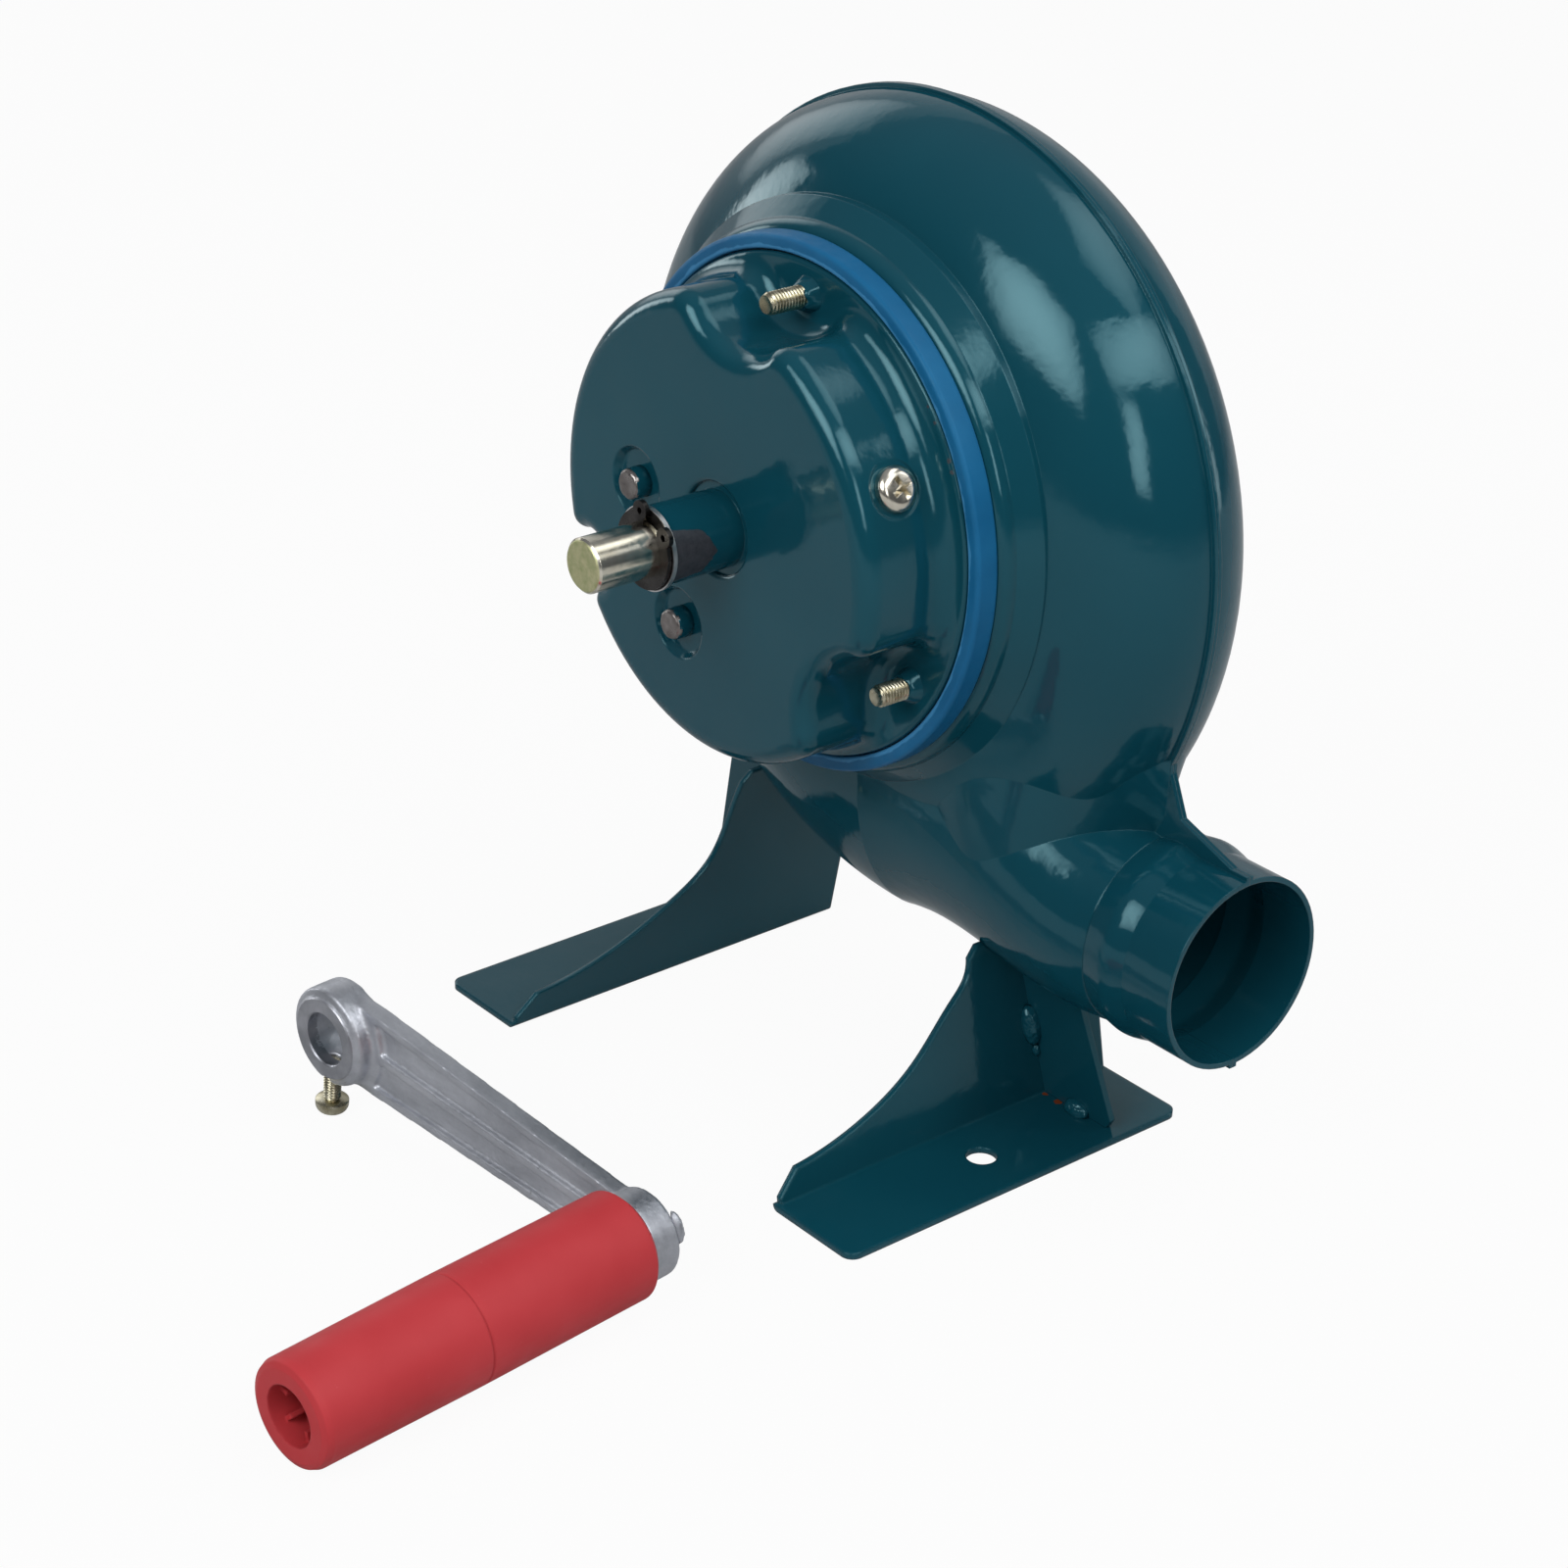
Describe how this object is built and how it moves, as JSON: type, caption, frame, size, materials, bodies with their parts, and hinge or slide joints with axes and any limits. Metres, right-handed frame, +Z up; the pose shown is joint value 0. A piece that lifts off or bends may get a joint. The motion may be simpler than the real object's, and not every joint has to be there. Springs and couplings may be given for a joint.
{
  "type": "hand crank blower",
  "caption": "Hand crank forge blower: pressed steel scroll casing with a geared step-up drive, two feet, a side air outlet and a loose crank with a turning grip.",
  "frame": {"origin": "middle of the two bolt holes in the feet, on the surface that the blower stands on", "axes": "+Z up, the gearbox and the drive shaft face -Y, the air outlet points along +X and the air inlet faces +Y"},
  "size_m": [0.1924, 0.2388, 0.2218],
  "materials": {
    "teal_paint": "thick glossy dark teal enamel over pressed steel sheet",
    "blue_rubber": "smooth mid blue rubber with a soft satin face",
    "plain_steel": "plain machined or pressed steel, lightly oiled",
    "dark_steel": "blackened spring steel",
    "zinc_yellow": "steel with a thin yellow zinc plating",
    "zinc_bright": "steel with bright zinc plating",
    "nickel_steel": "bright nickel plated screw",
    "bronze": "oil filled bearing bronze",
    "cast_aluminium": "pressure die-cast aluminium, matt grey skin",
    "red_plastic": "moulded red plastic with a soft satin face"
  },
  "bodies": {
    "housing": {"front_shell": "teal_paint", "rear_shell": "teal_paint", "gearbox_gasket": "blue_rubber", "gearbox_back_plate": "plain_steel", "gearbox_cover": "teal_paint", "shaft_bush": "teal_paint", "gear_pin_a": "dark_steel", "gear_pin_b": "dark_steel", "gearbox_stud_1": "zinc_yellow", "gearbox_stud_2": "zinc_yellow", "gearbox_stud_3": "zinc_yellow", "stud_tacks": "teal_paint", "filler_screw": "nickel_steel", "spindle_bush": "bronze", "right_foot": "teal_paint", "left_foot": "teal_paint", "right_gusset": "teal_paint", "left_gusset": "teal_paint"},
    "fan": {"fan_impeller": "plain_steel", "fan_hub": "cast_aluminium", "fan_spindle": "plain_steel", "fan_pinion": "plain_steel", "fan_nut": "zinc_bright"},
    "cluster_b": {"cluster_gear_b": "plain_steel"},
    "cluster_a": {"cluster_gear_a": "plain_steel"},
    "drive": {"drive_shaft": "zinc_yellow", "drive_gear": "plain_steel", "retaining_ring": "dark_steel", "thrust_washer": "zinc_bright"},
    "crank": {"crank_arm": "cast_aluminium", "crank_set_screw": "zinc_yellow", "grip_pin": "zinc_bright", "rivet_washer": "zinc_bright"},
    "grip": {"crank_grip": "red_plastic"}
  },
  "joints": [
    {"name": "fan_spin", "type": "hinge", "parent": "housing", "child": "fan", "pos_m": [0, 0.0315, 0.1374], "axis": [0, -1, 0], "continuous": true},
    {"name": "cluster_b_spin", "type": "hinge", "parent": "housing", "child": "cluster_b", "pos_m": [-0.02744, 0.0315, 0.13917], "axis": [0, -1, 0], "continuous": true},
    {"name": "cluster_a_spin", "type": "hinge", "parent": "housing", "child": "cluster_a", "pos_m": [-0.01217, 0.0315, 0.11163], "axis": [0, -1, 0], "continuous": true},
    {"name": "drive_spin", "type": "hinge", "parent": "housing", "child": "drive", "pos_m": [0, 0.0315, 0.1374], "axis": [0, -1, 0], "continuous": true},
    {"name": "crank_carry", "type": "slide", "parent": "housing", "child": "crank", "axis": [0.3324, 0, 0.9432], "range_m": [0, 0.12426]},
    {"name": "grip_spin", "type": "hinge", "parent": "crank", "child": "grip", "pos_m": [0.05783, -0.13507, 0.01242], "axis": [0.0976, -0.9952, 0], "continuous": true}
  ],
  "couplings": [
    {"joint": "cluster_b_spin", "follows": "fan_spin", "ratio": -0.30952},
    {"joint": "cluster_a_spin", "follows": "fan_spin", "ratio": 0.15476},
    {"joint": "drive_spin", "follows": "fan_spin", "ratio": -0.04127}
  ]
}
